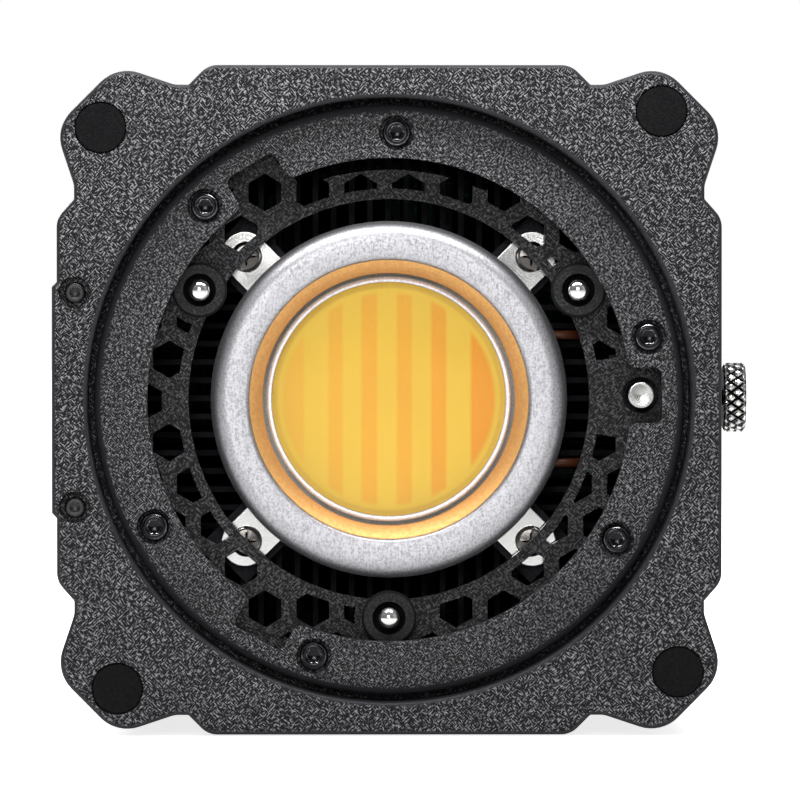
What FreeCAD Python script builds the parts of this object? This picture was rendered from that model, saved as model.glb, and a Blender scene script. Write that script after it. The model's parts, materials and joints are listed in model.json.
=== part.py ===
import FreeCAD, Part
import math
import os

# Compact square COB studio light head with a bayonet accessory mount.
# The front faces -Y, +X is to the right seen from the front, +Z is up.
# The origin is on the optical axis, in the plane of the front face.  Millimetres.

# ---- outer body -------------------------------------------------------------
HALF_WIDTH = 44.0
HALF_HEIGHT = 44.3
FLAT_END = 24.0          # where each straight side ends and the corner notch begins
FLAT_ROUND = 3.0
NOTCH = 41.7             # distance of the notch floor from the axis
NOTCH_START = 26.6
NOTCH_END = 28.4
NOTCH_TIGHT = 0.4        # radius of the notch's sharp bend
NOTCH_SOFT = 3.0
EAR_HIGH = 44.25         # outer corner of the ear, before its rounding
EAR_LOW = 36.05
EAR_ROUND = 5.0
EDGE_ROUND = 0.6         # rounding of the bezel's front edges
STRIP_RISE = 0.65        # raised strip on the left side
STRIP_HALF = 15.0
WALL = 2.4
SHELL_INSET = 0.4        # the mid shells stand this far inside the bezel

BEZEL_FACE = 6.5         # thickness of the bezel's face
BEZEL_REAR = 10.0
COVER_FRONT = 94.0
COVER_REAR = 112.0
PANEL = 2.5              # thickness of the rear panel

CORNER_SCREWS = [(-38.2, 36.0), (36.0, 38.2), (38.2, -36.0), (-36.0, -38.2)]
PLUG_R = 3.35

# ---- accessory mount --------------------------------------------------------
RECESS_R = 40.05
RING_R = 39.2
THROAT_R = 32.1
RING_FACE = 3.2          # depth of the ring's front face
LIP_REAR = 5.0
PLATE_FRONT = 7.0
PLATE_REAR = 8.6
SLOT_R = 36.2
SLOT_WIDTH = 7.4
SLOT_MOUTH_R = 1.2
SLOT_ANGLES = [1.0, 121.0, 241.0]
RING_SCREW_R = 35.45
RING_SCREW_ANGLES = [a + step for a in SLOT_ANGLES for step in (12.6, -32.6)]
FLANGE_R = 34.6          # inner edge of the bezel's ledge

GRILLE_R = 26.7
GRILLE_BAND_R = 28.1
GRILLE_OUT_R = 36.3
HEX_FLATS = 4.35
HEX_PITCH = 6.37
HEX_ROW = 5.55
HEX_CENTRE = (-0.6, -0.2)

PLUNGER_R = 29.1
PLUNGERS = {"right": 30.0, "left": 150.0, "bottom": 270.0}
PIN_HEAD_R = 1.6
PLUNGER_SPRING = (1.6, 0.3, 3)      # mean radius, wire radius, turns
LOCK_SPRING = (2.2, 0.3, 5)

LOCK_X = 33.5
LOCK_Z = 0.58
LOCK_TRAVEL = 4.0
KNOB_Y = 17.0
KNOB_Z = 0.15
KNOB_INNER = 45.1        # how far the knob's two faces stand from the axis
KNOB_OUTER = 48.0
GUIDE_LOW = -5.0
GUIDE_HIGH = 5.9
GUIDE_SCREW = (39.0, 7.6)

# ---- light engine -----------------------------------------------------------
LAMP_R = 23.75
LAMP_OPEN_R = 18.6
LAMP_FRONT = 5.0
CONE_INNER_R = 16.9
PHOSPHOR_R = 15.65
DAM_R = 16.4
SUBSTRATE_FRONT = 12.0
SPREADER_FRONT = 13.5
SINK_FRONT = 18.5
SINK_REAR = 66.0
SINK_HALF = 36.5
SINK_CORE = 15.0
FIN_PITCH = 2.45
FIN_THICK = 0.8
CLIP_SCREW_R = 26.9
PIPE_PLACE = 9.0
PIPE_R = 3.0

# ---- fan and boards ---------------------------------------------------------
FAN_HALF = 35.0
FAN_HOLE = 30.75
FAN_BORE_R = 32.6
FAN_REAR = 81.0
HUB_R = 13.5
BLADE_R = 31.9
BLADES = 7
BOARD_Y = 87.0
BOARD_THICK = 1.6
CONTROL_Y = 101.0

# ---- mounting plates --------------------------------------------------------
TAP_R = 2.55             # tapping size of a 1/4"-20 thread
TRIPOD_Y = 50.0
SIDE_TAP_Y = 45.0
SIDE_SCREW = (-41.6, 14.2)

# ---- rear controls ----------------------------------------------------------
DIALS = {"brightness_dial": 20.0, "colour_dial": -20.0}
DIAL_Z = -12.0
DIAL_R = 8.5
DIAL_TOP = 119.5
BUTTONS = {"power_button": (0.0, -14.0, 4.2), "menu_button": (0.0, 1.5, 3.0)}
DISPLAY_Z = 22.0
WINDOW = (52.0, 27.0)
DC_PLACE = (13.0, -33.0)
USB_PLACE = (-13.0, -33.0)

# ---- tiny gap between parts that are pressed or screwed together -------------
EASE = 0.02

V = FreeCAD.Vector
ALONG_Y = V(0, 1, 0)


# ---- helpers ----------------------------------------------------------------
def rod(radius, y0, y1, x=0.0, z=0.0):
    """Cylinder along Y."""
    return Part.makeCylinder(radius, y1 - y0, V(x, y0, z), ALONG_Y)


def tube(outer, inner, y0, y1, x=0.0, z=0.0):
    return rod(outer, y0, y1, x, z).cut(rod(inner, y0 - 1, y1 + 1, x, z))


def block(x0, x1, y0, y1, z0, z1):
    return Part.makeBox(x1 - x0, y1 - y0, z1 - z0, V(x0, y0, z0))


def polar(radius, degrees):
    turn = math.radians(degrees)
    return radius * math.cos(turn), radius * math.sin(turn)


def turned(profile, x=0.0, z=0.0):
    """Solid of revolution about a line along Y; profile is a list of (radius, y)."""
    points = [V(x + radius, y, z) for radius, y in profile]
    face = Part.Face(Part.makePolygon(points + points[:1]))
    return face.revolve(V(x, 0, z), ALONG_Y, 360)


def about_axis(shape, degrees):
    """Copy turned about the optical axis, counted from +X towards +Z."""
    turned_copy = shape.copy()
    turned_copy.rotate(V(0, 0, 0), V(0, -1, 0), degrees)
    return turned_copy


def rounded_wire(corners, y=0.0):
    """Closed outline in a plane across Y from (x, z, radius) corners."""
    edges = []
    starts = []
    ends = []
    count = len(corners)
    for i, (x, z, radius) in enumerate(corners):
        here = V(x, y, z)
        back = V(corners[i - 1][0], y, corners[i - 1][1]) - here
        ahead = V(corners[(i + 1) % count][0], y, corners[(i + 1) % count][1]) - here
        back.normalize()
        ahead.normalize()
        half = back.getAngle(ahead) / 2
        reach = radius / math.tan(half)
        starts.append(here + back * reach)
        ends.append(here + ahead * reach)
        if radius > 0:
            inward = back + ahead
            inward.normalize()
            middle = here + inward * (radius / math.sin(half) - radius)
            edges.append(Part.Arc(starts[-1], middle, ends[-1]).toShape())
    for i in range(count):
        edges.append(Part.makeLine(ends[i - 1], starts[i]))
    return Part.Wire(Part.__sortEdges__(edges))


def prism(wire, y0, y1):
    face = Part.Face(wire)
    face.translate(V(0, y0, 0))
    return face.extrude(V(0, y1 - y0, 0))


def rectangle(half_x, half_z, radius, x=0.0, z=0.0):
    signs = [(1, 1), (1, -1), (-1, -1), (-1, 1)]
    return rounded_wire([(x + sx * half_x, z + sz * half_z, radius) for sx, sz in signs])


def round_front(shape, y, radius, inner=0.0):
    """Round the edges that lie in the plane at y and are further out than inner."""
    def chosen(edge):
        box = edge.BoundBox
        flat = abs(box.YMin - y) < 1e-6 and abs(box.YMax - y) < 1e-6
        middle = edge.valueAt((edge.FirstParameter + edge.LastParameter) / 2)
        return flat and math.hypot(middle.x, middle.z) > inner
    return shape.makeFillet(radius, [edge for edge in shape.Edges if chosen(edge)])


def fuse(shapes):
    return shapes[0].multiFuse(shapes[1:]).removeSplitter()


def group(shapes):
    """Separate solids that share one node."""
    return Part.makeCompound(shapes)


def hexagon(across_flats, y0, y1, x, z, first=30.0):
    """Hexagonal prism; first is the angle of its first corner."""
    far = across_flats / math.sqrt(3)
    points = []
    for k in range(6):
        dx, dz = polar(far, first + 60 * k)
        points.append(V(x + dx, y0, z + dz))
    return Part.Face(Part.makePolygon(points + points[:1])).extrude(V(0, y1 - y0, 0))


def socket_screw(head_r, head_h, shank_r, length, key, x, z, y, way=1):
    """Socket-head screw along Y; y is the head's outer end and way points into the work."""
    seat = y + way * head_h
    head = rod(head_r, min(y, seat), max(y, seat), x, z)
    head = head.makeChamfer(0.12 * head_r, [e for e in head.Edges if abs(e.BoundBox.YMin - y) < 1e-6
                                            and abs(e.BoundBox.YMax - y) < 1e-6])
    tip = seat + way * length
    shank = rod(shank_r, min(seat, tip), max(seat, tip), x, z)
    depth = y + way * 0.6 * head_h
    socket = hexagon(key, min(y, depth), max(y, depth), x, z)
    return head.fuse(shank).cut(socket)


def spring(size, y0, y1, x, z):
    """Compression spring along Y between two seats; size is mean radius, wire radius and turns."""
    mean_r, wire_r, turns = size
    low = y0 + wire_r
    height = y1 - y0 - 2 * wire_r
    helix = Part.makeHelix(height / turns, height, mean_r)
    wire_end = Part.Wire(Part.makeCircle(wire_r, V(mean_r, 0, 0), ALONG_Y))
    coil = Part.Wire(helix.Edges).makePipeShell([wire_end], True, True)
    coil.rotate(V(0, 0, 0), V(1, 0, 0), -90)
    coil.translate(V(x, low, z))
    return coil


def slot_cutter(length, width, depth, centre, along, through):
    """Round-ended slot: along and through are unit vectors, depth is measured both ways."""
    across = through.cross(along)
    half = length / 2 - width / 2
    corner = centre - along * half - across * (width / 2) - through * depth
    points = [corner, corner + along * 2 * half, corner + along * 2 * half + across * width,
              corner + across * width]
    body = Part.Face(Part.makePolygon(points + points[:1])).extrude(through * 2 * depth)
    ends = [Part.makeCylinder(width / 2, 2 * depth, centre + along * s * half - through * depth, through)
            for s in (-1, 1)]
    return body.multiFuse(ends)


# ---- outline of the body ----------------------------------------------------
def corner_points():
    """Corner notch and ear between the top and right sides."""
    top = [(FLAT_END, HALF_HEIGHT, FLAT_ROUND), (NOTCH_START, NOTCH, NOTCH_TIGHT),
           (NOTCH_END, NOTCH, NOTCH_SOFT), (EAR_LOW, EAR_HIGH, EAR_ROUND)]
    side = [(EAR_HIGH, EAR_LOW, EAR_ROUND), (NOTCH, NOTCH_END, NOTCH_SOFT),
            (NOTCH, NOTCH_START, NOTCH_TIGHT), (HALF_WIDTH, FLAT_END, FLAT_ROUND)]
    return top + side


def body_outline(strip):
    quarter = corner_points()
    points = list(quarter)
    points += [(x, -z, r) for x, z, r in reversed(quarter)]
    points += [(-x, -z, r) for x, z, r in quarter]
    if strip:
        far = HALF_WIDTH + STRIP_RISE
        end = STRIP_HALF + STRIP_RISE
        points += [(-HALF_WIDTH, -end, 0), (-far, -STRIP_HALF, 0.2), (-far, STRIP_HALF, 0.2),
                   (-HALF_WIDTH, end, 0)]
    points += [(-x, z, r) for x, z, r in reversed(quarter)]
    return rounded_wire(points)


def body_prism(inset, y0, y1, strip=False):
    wire = body_outline(strip)
    if inset > 0:
        wire = wire.makeOffset2D(-inset)
    return prism(wire, y0, y1)


# ---- front ------------------------------------------------------------------
def front_bezel():
    solid = body_prism(0, 0, BEZEL_REAR, strip=True).cut(rod(RECESS_R, -1, PLATE_REAR))
    solid = round_front(solid, 0, EDGE_ROUND)
    core = body_prism(WALL, BEZEL_FACE, BEZEL_REAR + 1)
    keep = [rod(RECESS_R + 2, 0, 12)]
    keep += [rod(3.9, 0, 12, x, z) for x, z in CORNER_SCREWS]
    keep += [rod(2.6, 0, 12, SIDE_SCREW[0], s * SIDE_SCREW[1]) for s in (-1, 1)]
    solid = solid.cut(core.cut(group(keep)))
    posts = [rod(2.3, PLATE_REAR, 13, *polar(RING_SCREW_R, a)) for a in RING_SCREW_ANGLES]
    solid = fuse([solid.cut(rod(FLANGE_R, 0, 12))] + posts)
    cuts = [rod(1.0 + EASE, 0, 14, *polar(RING_SCREW_R, a)) for a in RING_SCREW_ANGLES]
    cuts.append(rod(2.4, 0, 12, LOCK_X, LOCK_Z))
    for x, z in CORNER_SCREWS:
        cuts += [rod(PLUG_R + 0.1, -1, 1.9, x, z), rod(2.4, 1, 4.6, x, z), rod(1.35, 4, 12, x, z)]
    for s in (-1, 1):
        cuts += [rod(2.1, -1, 1.6, SIDE_SCREW[0], s * SIDE_SCREW[1]),
                 rod(0.9 + EASE, 1, 12, SIDE_SCREW[0], s * SIDE_SCREW[1]),
                 rod(0.7 + EASE, 9.0, 14, GUIDE_SCREW[0], s * GUIDE_SCREW[1])]
    return solid.cut(group(cuts))


def corner_plugs():
    return group([round_front(rod(PLUG_R, 0.1, 1.9, x, z), 0.1, 0.25) for x, z in CORNER_SCREWS])


def bezel_screws():
    return group([socket_screw(2.25, 2.3, 1.25, 17, 2.0, x, z, 2.3) for x, z in CORNER_SCREWS])


def mount_ring():
    profile = [(THROAT_R, RING_FACE), (RING_R, RING_FACE), (RING_R, PLATE_REAR),
               (GRILLE_OUT_R + 0.1, PLATE_REAR), (GRILLE_OUT_R + 0.1, LIP_REAR), (THROAT_R, LIP_REAR)]
    ring = round_front(turned(profile), RING_FACE, 1.25, inner=RING_R - 0.5)
    posts = [rod(2.6, LIP_REAR - 0.5, PLATE_FRONT, *polar(RING_SCREW_R, a)) for a in RING_SCREW_ANGLES]
    ring = fuse([ring] + posts)
    pocket = block(THROAT_R - 2, SLOT_R, RING_FACE - 1, LIP_REAR + 0.05, -SLOT_WIDTH / 2, SLOT_WIDTH / 2)
    tall = [e for e in pocket.Edges if e.BoundBox.XMin > SLOT_R - 0.1 and e.BoundBox.YLength > 1]
    pocket = pocket.makeFillet(1.0, tall)
    cuts = [about_axis(pocket, a) for a in SLOT_ANGLES]
    for a in RING_SCREW_ANGLES:
        cuts += [rod(2.33, RING_FACE - 1, 5.2, *polar(RING_SCREW_R, a)),
                 rod(1.0 + EASE, 5, 9, *polar(RING_SCREW_R, a))]
    ring = ring.cut(group(cuts))
    mouths = [e for e in ring.Edges if abs(e.BoundBox.YLength - (LIP_REAR - RING_FACE)) < 0.01
              and e.BoundBox.XLength < 0.01 and e.BoundBox.ZLength < 0.01
              and abs(math.hypot(e.Vertexes[0].X, e.Vertexes[0].Z) - THROAT_R) < 0.01]
    return ring.makeFillet(SLOT_MOUTH_R, mouths)


def mount_ring_screws():
    return group([socket_screw(1.9, 1.8, 1.0, 6.6, 1.5, *polar(RING_SCREW_R, a), 3.4)
                  for a in RING_SCREW_ANGLES])


def sector(r_in, r_out, start, end, y0, y1):
    """Part of a ring between two angles."""
    wedge = Part.makeCylinder(r_out, y1 - y0, V(0, y0, 0), ALONG_Y, end - start)
    wedge = wedge.cut(rod(r_in, y0 - 1, y1 + 1))
    # A partial cylinder about +Y starts on +Z and turns towards +X.
    return about_axis(wedge, end - 90)


def grille_plate():
    plate = tube(GRILLE_OUT_R, GRILLE_R, PLATE_FRONT, PLATE_REAR)
    field = tube(35.0, GRILLE_BAND_R, PLATE_FRONT - 1, PLATE_REAR + 1)
    solid_zones = [sector(20, 40, -9.5, 10.5, 0, 12)]
    solid_zones += [rod(4.6, 0, 12, *polar(PLUNGER_R, a)) for a in PLUNGERS.values()]
    solid_zones += [rod(2.6, 0, 12, *polar(RING_SCREW_R, a)) for a in RING_SCREW_ANGLES]
    field = field.cut(group(solid_zones))
    cells = []
    for row in range(-7, 8):
        shift = HEX_PITCH / 2 if row % 2 else 0.0
        for column in range(-7, 7):
            x = HEX_CENTRE[0] + column * HEX_PITCH + shift
            z = HEX_CENTRE[1] + row * HEX_ROW
            if GRILLE_R < math.hypot(x, z) < 37:
                cells.append(hexagon(HEX_FLATS, PLATE_FRONT - 1, PLATE_REAR + 1, x, z))
    smallest = 0.8 * (PLATE_REAR - PLATE_FRONT + 2)
    openings = [s for cell in cells for s in cell.common(field).Solids if s.Volume > smallest]
    openings.append(sector(30.6, 32.9, 65, 113, 0, 12))
    openings.append(rod(2.4, 0, 12, LOCK_X, LOCK_Z))
    openings += [rod(3.0 + EASE, 0, 12, *polar(PLUNGER_R, a)) for a in PLUNGERS.values()]
    openings += [rod(1.05, 0, 12, *polar(RING_SCREW_R, a)) for a in RING_SCREW_ANGLES]
    return plate.cut(group(openings))


# ---- spring plungers --------------------------------------------------------
def plunger_bush(x, z):
    return turned([(2.2, 5.4), (3.35, 5.4), (3.65, 5.7), (3.65, 7.0), (3.0, 7.0), (3.0, 15.0),
                   (2.2, 15.0), (2.2, 8.2), (1.3, 8.2), (1.3, 7.4), (2.2, 7.4)], x, z)


def plunger_pin(x, z):
    shank = turned([(0, 4.6), (PIN_HEAD_R, 5.3), (PIN_HEAD_R, 5.85), (1.25, 5.85), (1.25, 8.3), (2.05, 8.3),
                    (2.05, 9.3), (0.7, 9.3), (0.7, 11.3), (0, 11.3)], x, z)
    dome = Part.makeSphere(PIN_HEAD_R, V(x, 5.4, z))
    head = dome.common(rod(PIN_HEAD_R + 1, 4.3, 5.4, x, z))
    return shank.fuse(head).removeSplitter()


# ---- accessory lock ---------------------------------------------------------
def lock_pin():
    return turned([(0, 4.5), (0.5, 4.5), (0.7, 4.2), (1.5, 4.2), (1.75, 4.45), (1.75, 18.0), (0, 18.0)],
                  LOCK_X, LOCK_Z)


def lock_carriage():
    body = block(31.0, 39.2, 14.5, 19.5, LOCK_Z - 3.6, LOCK_Z + 3.6)
    body = body.cut(rod(1.75 + EASE, 14, 18.0, LOCK_X, LOCK_Z))
    bore = Part.makeCylinder(1.0 + EASE, 4, V(36.2, KNOB_Y, KNOB_Z), V(1, 0, 0))
    return body.cut(bore)


def lock_knob():
    profile = [(0, 36.4), (1.0, 36.4), (1.0, KNOB_INNER), (4.2, KNOB_INNER), (4.65, KNOB_INNER + 0.45),
               (4.65, KNOB_OUTER - 0.45), (4.2, KNOB_OUTER), (0, KNOB_OUTER)]
    points = [V(x, KNOB_Y + radius, KNOB_Z) for radius, x in profile]
    face = Part.Face(Part.makePolygon(points + points[:1]))
    return face.revolve(V(0, KNOB_Y, KNOB_Z), V(1, 0, 0), 360)


def lock_guide():
    """Channel that holds the lock's carriage, open towards the knob."""
    inner, outer = 29.4, 40.6
    front = block(inner, outer, BEZEL_REAR, 12.4, GUIDE_LOW, GUIDE_HIGH)
    x, z = GUIDE_SCREW
    ears = [rod(1.9, BEZEL_REAR, 12.4, x, s * z) for s in (-1, 1)]
    link = block(x - 1.9, x + 1.9, BEZEL_REAR, 12.4, -z, z)
    rails = [block(inner, outer, 12.4, 28.6, LOCK_Z + 3.8, GUIDE_HIGH),
             block(inner, outer, 12.4, 28.6, GUIDE_LOW, LOCK_Z - 3.8)]
    floor = block(inner, inner + 1.2, 12.4, 28.6, GUIDE_LOW, GUIDE_HIGH)
    back = block(inner, outer, 27.0, 28.6, GUIDE_LOW, GUIDE_HIGH)
    stub = rod(1.2, 24.0, 27.0, LOCK_X, LOCK_Z)
    guide = fuse([front, link, floor, back, stub] + ears + rails)
    holes = [rod(1.75 + 0.05, 9, 13, LOCK_X, LOCK_Z)]
    holes += [rod(0.75, 9, 14, x, s * z) for s in (-1, 1)]
    return guide.cut(group(holes))


def lock_guide_screws():
    x, z = GUIDE_SCREW
    return group([socket_screw(1.4, 1.2, 0.7, 3.2, 1.1, x, s * z, 13.6, way=-1) for s in (-1, 1)])


# ---- light engine -----------------------------------------------------------
def lamp_ring():
    profile = [(LAMP_OPEN_R, LAMP_FRONT), (LAMP_R, LAMP_FRONT), (LAMP_R, 11.0), (17.3, 11.0),
               (17.3, 9.9), (LAMP_OPEN_R, 9.9)]
    ring = round_front(turned(profile), LAMP_FRONT, 1.6, inner=LAMP_R - 1)
    edges = [e for e in ring.Edges if e.Closed and abs(e.BoundBox.YMax - LAMP_FRONT) < 1e-6
             and abs(e.BoundBox.XMax - LAMP_OPEN_R) < 0.1]
    return ring.makeFillet(0.4, edges)


def reflector_cone():
    rim = LAMP_OPEN_R - EASE
    return turned([(rim, 5.9), (rim, 8.9), (CONE_INNER_R, 8.9), (CONE_INNER_R, 7.9)])


def glass_ring():
    return turned([(15.9, 7.9), (16.1, 7.9), (16.4, 8.1), (16.4, 8.9), (15.7, 8.9), (15.7, 8.1)])


def cob_glass():
    return rod(LAMP_OPEN_R - 0.1, 8.9, 9.9)


def cob_substrate():
    plate = prism(rectangle(17.5, 17.5, 0), SUBSTRATE_FRONT, SPREADER_FRONT)
    upright = [e for e in plate.Edges if e.BoundBox.YLength > 1]
    return plate.makeChamfer(3.0, upright)


def cob_bracket():
    arms = []
    for a in (45, 135, 225, 315):
        arm = block(19, 27.2, 11.0, 12.0, -3.1, 3.1).fuse(rod(3.1, 11.0, 12.0, 27.2, 0))
        arms.append(about_axis(arm, a))
    plate = fuse([tube(23.0, 17.4, 11.0, 12.0)] + arms)
    return plate.cut(group([rod(1.15, 10, 13, *polar(CLIP_SCREW_R, a)) for a in (45, 135, 225, 315)]))


def phillips_screw(x, z):
    head = turned([(0, 9.8), (1.0, 9.9), (1.8, 10.3), (2.1, 10.8), (2.1, 11.0), (1.0, 11.0),
                   (1.0, 17.0), (0, 17.0)], x, z)
    cross = [block(x - 1.1, x + 1.1, 9, 10.7, z - 0.22, z + 0.22),
             block(x - 0.22, x + 0.22, 9, 10.7, z - 1.1, z + 1.1)]
    return head.cut(group(cross))


def pipe_places():
    return [(sx * PIPE_PLACE, sz * PIPE_PLACE) for sx in (-1, 1) for sz in (-1, 1)]


def heat_spreader():
    arms = [about_axis(block(0, 31.0, SPREADER_FRONT, SINK_FRONT, -4, 4), a) for a in (45, 135, 225, 315)]
    pads = [rod(3.2, SUBSTRATE_FRONT, SINK_FRONT, *polar(CLIP_SCREW_R, a)) for a in (45, 135, 225, 315)]
    plate = fuse([rod(22.8, SPREADER_FRONT, SINK_FRONT)] + arms + pads)
    cuts = [rod(1.0 + EASE, 10, 18, *polar(CLIP_SCREW_R, a)) for a in (45, 135, 225, 315)]
    cuts += [rod(PIPE_R + EASE, 14.6, 20, x, z) for x, z in pipe_places()]
    return plate.cut(group(cuts))


def heat_pipes():
    return group([rod(PIPE_R, 14.6, 62.0, x, z) for x, z in pipe_places()])


def heatsink():
    """Extruded block: diagonal spines with straight fins in the four quarters between them."""
    def bar(x0, x1, z0, z1):
        return block(x0, x1, SINK_FRONT, SINK_REAR, z0, z1)
    pieces = [bar(-SINK_CORE, SINK_CORE, -SINK_CORE, SINK_CORE)]
    count = int(SINK_HALF / FIN_PITCH) - 1
    half = FIN_THICK / 2
    for k in range(-count, count + 1):
        place = k * FIN_PITCH
        root = max(abs(place), SINK_CORE) - 0.3
        for s in (-1, 1):
            low, high = sorted((s * root, s * SINK_HALF))
            pieces.append(bar(place - half, place + half, low, high))
            pieces.append(bar(low, high, place - half, place + half))
    pieces += [about_axis(bar(-48.8, 48.8, -1.5, 1.5), turn) for turn in (45, 135)]
    pieces += [rod(3.0, SINK_FRONT, SINK_REAR, x, z) for x, z in fan_places()]
    cuts = [rod(PIPE_R + EASE, 10, 63, x, z) for x, z in pipe_places()]
    cuts += [rod(1.45 + EASE, 50, 70, x, z) for x, z in fan_places()]
    cuts.append(block(28.9, 40, 10, 29.4, GUIDE_LOW - 0.8, GUIDE_HIGH + 0.8))
    return fuse(pieces).cut(group(cuts))


def wire_path(points, bends):
    """Straight runs joined by tangent arcs."""
    edges = []
    start = points[0]
    for i, bend in enumerate(bends, start=1):
        here = points[i]
        back = points[i - 1] - here
        ahead = points[i + 1] - here
        back.normalize()
        ahead.normalize()
        half = back.getAngle(ahead) / 2
        reach = bend / math.tan(half)
        inward = back + ahead
        inward.normalize()
        first = here + back * reach
        last = here + ahead * reach
        middle = here + inward * (bend / math.sin(half) - bend)
        edges.append(Part.makeLine(start, first))
        edges.append(Part.Arc(first, middle, last).toShape())
        start = last
    edges.append(Part.makeLine(start, points[-1]))
    return Part.Wire(edges)


def led_lead(side):
    gap = side * 3.5 * FIN_PITCH
    points = [V(17.6, 12.75, gap), V(25.5, 12.75, gap), V(25.5, 32, gap), V(38.6, 50, gap),
              V(38.6, 86.35, gap), V(31.0, 86.35, gap)]
    path = wire_path(points, [2.5, 8.0, 8.0, 2.5])
    end = Part.Wire(Part.makeCircle(0.6, points[0], V(1, 0, 0)))
    return path.makePipeShell([end], True, False)


# ---- fan --------------------------------------------------------------------
def fan_places():
    return [(sx * FAN_HOLE, sz * FAN_HOLE) for sx in (-1, 1) for sz in (-1, 1)]


def fan_frame():
    frame = prism(rectangle(FAN_HALF, FAN_HALF, 4), SINK_REAR, FAN_REAR)
    frame = frame.cut(rod(FAN_BORE_R, 60, 90))
    struts = [about_axis(block(10, 33.2, FAN_REAR - 2, FAN_REAR, -1.6, 1.6), a) for a in (20, 110, 200, 290)]
    hub = rod(HUB_R, FAN_REAR - 2, FAN_REAR)
    post = rod(3.4, 70.5, FAN_REAR - 1)
    frame = fuse([frame, hub, post] + struts)
    cuts = [rod(2.4 + EASE, 60, FAN_REAR - 1)]
    cuts += [rod(1.6, 60, 90, x, z) for x, z in fan_places()]
    return frame.cut(group(cuts))


def fan_bearing():
    return tube(2.4, 1.05, 71.0, 79.8)


def fan_stator():
    core = tube(9.5, 3.4 + EASE, 72.5, 77.5)
    gaps = [about_axis(block(5.5, 12, 70, 80, -1.1, 1.1), 60 * k) for k in range(6)]
    return core.cut(group(gaps))


def fan_rotor():
    cup = turned([(0, 67.4), (12.9, 67.4), (HUB_R, 68.0), (HUB_R, 78.4), (12.2, 78.4), (12.2, 69.4),
                  (1.0, 69.4), (1.0, 79.4), (0, 79.4)])
    blade = block(HUB_R - 0.6, BLADE_R + 3, 62, 84, -0.6, 0.6)
    blade.rotate(V(0, 73, 0), V(1, 0, 0), 48)
    blade = blade.common(tube(BLADE_R, HUB_R - 0.6, 67.8, 78.0))
    return fuse([cup] + [about_axis(blade, 360 / BLADES * k) for k in range(BLADES)])


def board_standoffs():
    def standoff(x, z):
        body = hexagon(5.5, FAN_REAR, BOARD_Y, x, z)
        shank = rod(1.45, 54, FAN_REAR, x, z)
        return body.fuse(shank).cut(rod(1.25 + EASE, 82, 90, x, z))
    return group([standoff(x, z) for x, z in fan_places()])


def control_screw_places():
    return [(x, z) for x in (-28, 28) for z in (-21, 34)]


def board_screws():
    screws = [socket_screw(2.2, 1.6, 1.25, 5.4, 1.5, x, z, 90.2, way=-1) for x, z in fan_places()]
    screws += [socket_screw(1.9, 1.4, 1.0, 6.4, 1.3, x, z, CONTROL_Y - 1.4)
               for x, z in control_screw_places()]
    return group(screws)


# ---- electronics ------------------------------------------------------------
def driver_board():
    board = prism(rectangle(34.5, 34.5, 2), BOARD_Y, BOARD_Y + BOARD_THICK)
    return board.cut(group([rod(1.3, 80, 95, x, z) for x, z in fan_places()]))


def driver_components():
    base = BOARD_Y + BOARD_THICK
    capacitors = [rod(4.0, base, base + 8.4, x, 22.0) for x in (-14, -4, 6)]
    coil = tube(7.0, 3.0, base, base + 7.0, 14.0, -2.0)
    transformer = block(-20, -4, base, base + 8.0, -10, 8)
    heat_bar = block(-12, 12, base, base + 7.5, -24, -20)
    plug = block(22, 30, base, base + 6.0, 10, 20)
    return group(capacitors + [coil, transformer, heat_bar, plug])


def control_board():
    board = block(-31, 31, CONTROL_Y, CONTROL_Y + BOARD_THICK, -24, 37)
    corners = [e for e in board.Edges if e.BoundBox.YLength > 1]
    board = board.makeFillet(2.0, corners)
    return board.cut(group([rod(1.1, 100, 110, x, z) for x, z in control_screw_places()]))


def display_module():
    return block(-24.5, 24.5, CONTROL_Y + BOARD_THICK, 109.2, DISPLAY_Z - 12, DISPLAY_Z + 12)


def display_window():
    width, height = WINDOW
    return prism(rectangle(width / 2 - 0.15, height / 2 - 0.15, 2.4, 0, DISPLAY_Z), 110.8, 111.9)


def dial_encoders():
    base = CONTROL_Y + BOARD_THICK
    shapes = []
    for x in DIALS.values():
        body = block(x - 6, x + 6, base, 107.0, DIAL_Z - 6, DIAL_Z + 6)
        body = body.fuse(rod(4.2, 107.0, 109.3, x, DIAL_Z))
        shapes.append(body.cut(rod(3.05, 103.6, 112, x, DIAL_Z)))
    return group(shapes)


def dial(x):
    knob = turned([(0, 104.0), (3.0, 104.0), (3.0, 112.6), (DIAL_R, 112.6), (DIAL_R, DIAL_TOP - 0.8),
                   (DIAL_R - 0.8, DIAL_TOP), (0, DIAL_TOP)], x, DIAL_Z)
    flutes = []
    for k in range(24):
        dx, dz = polar(DIAL_R + 0.35, 15 * k)
        flutes.append(rod(0.75, 113.6, 125, x + dx, DIAL_Z + dz))
    return knob.cut(group(flutes))


def push_button(x, z, radius):
    return turned([(0, 106.0), (1.4, 106.0), (1.4, 107.4), (radius + 0.9, 107.4), (radius + 0.9, 109.0),
                   (radius, 109.0), (radius, 112.6), (radius - 0.4, 113.0), (0, 113.0)], x, z)


def button_switches():
    base = CONTROL_Y + BOARD_THICK
    shapes = []
    for x, z, _ in BUTTONS.values():
        shapes.append(block(x - 3, x + 3, base, 104.6, z - 3, z + 3).fuse(rod(1.5, 104.6, 105.2, x, z)))
    return group(shapes)


def dc_socket():
    x, z = DC_PLACE
    return turned([(3.2, 112.6), (6.6, 112.6), (6.6, 112.0), (5.5, 112.0), (5.5, 101.0), (0, 101.0),
                   (0, 109.5), (1.0, 109.5), (1.0, 103.0), (3.2, 103.0)], x, z)


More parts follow.
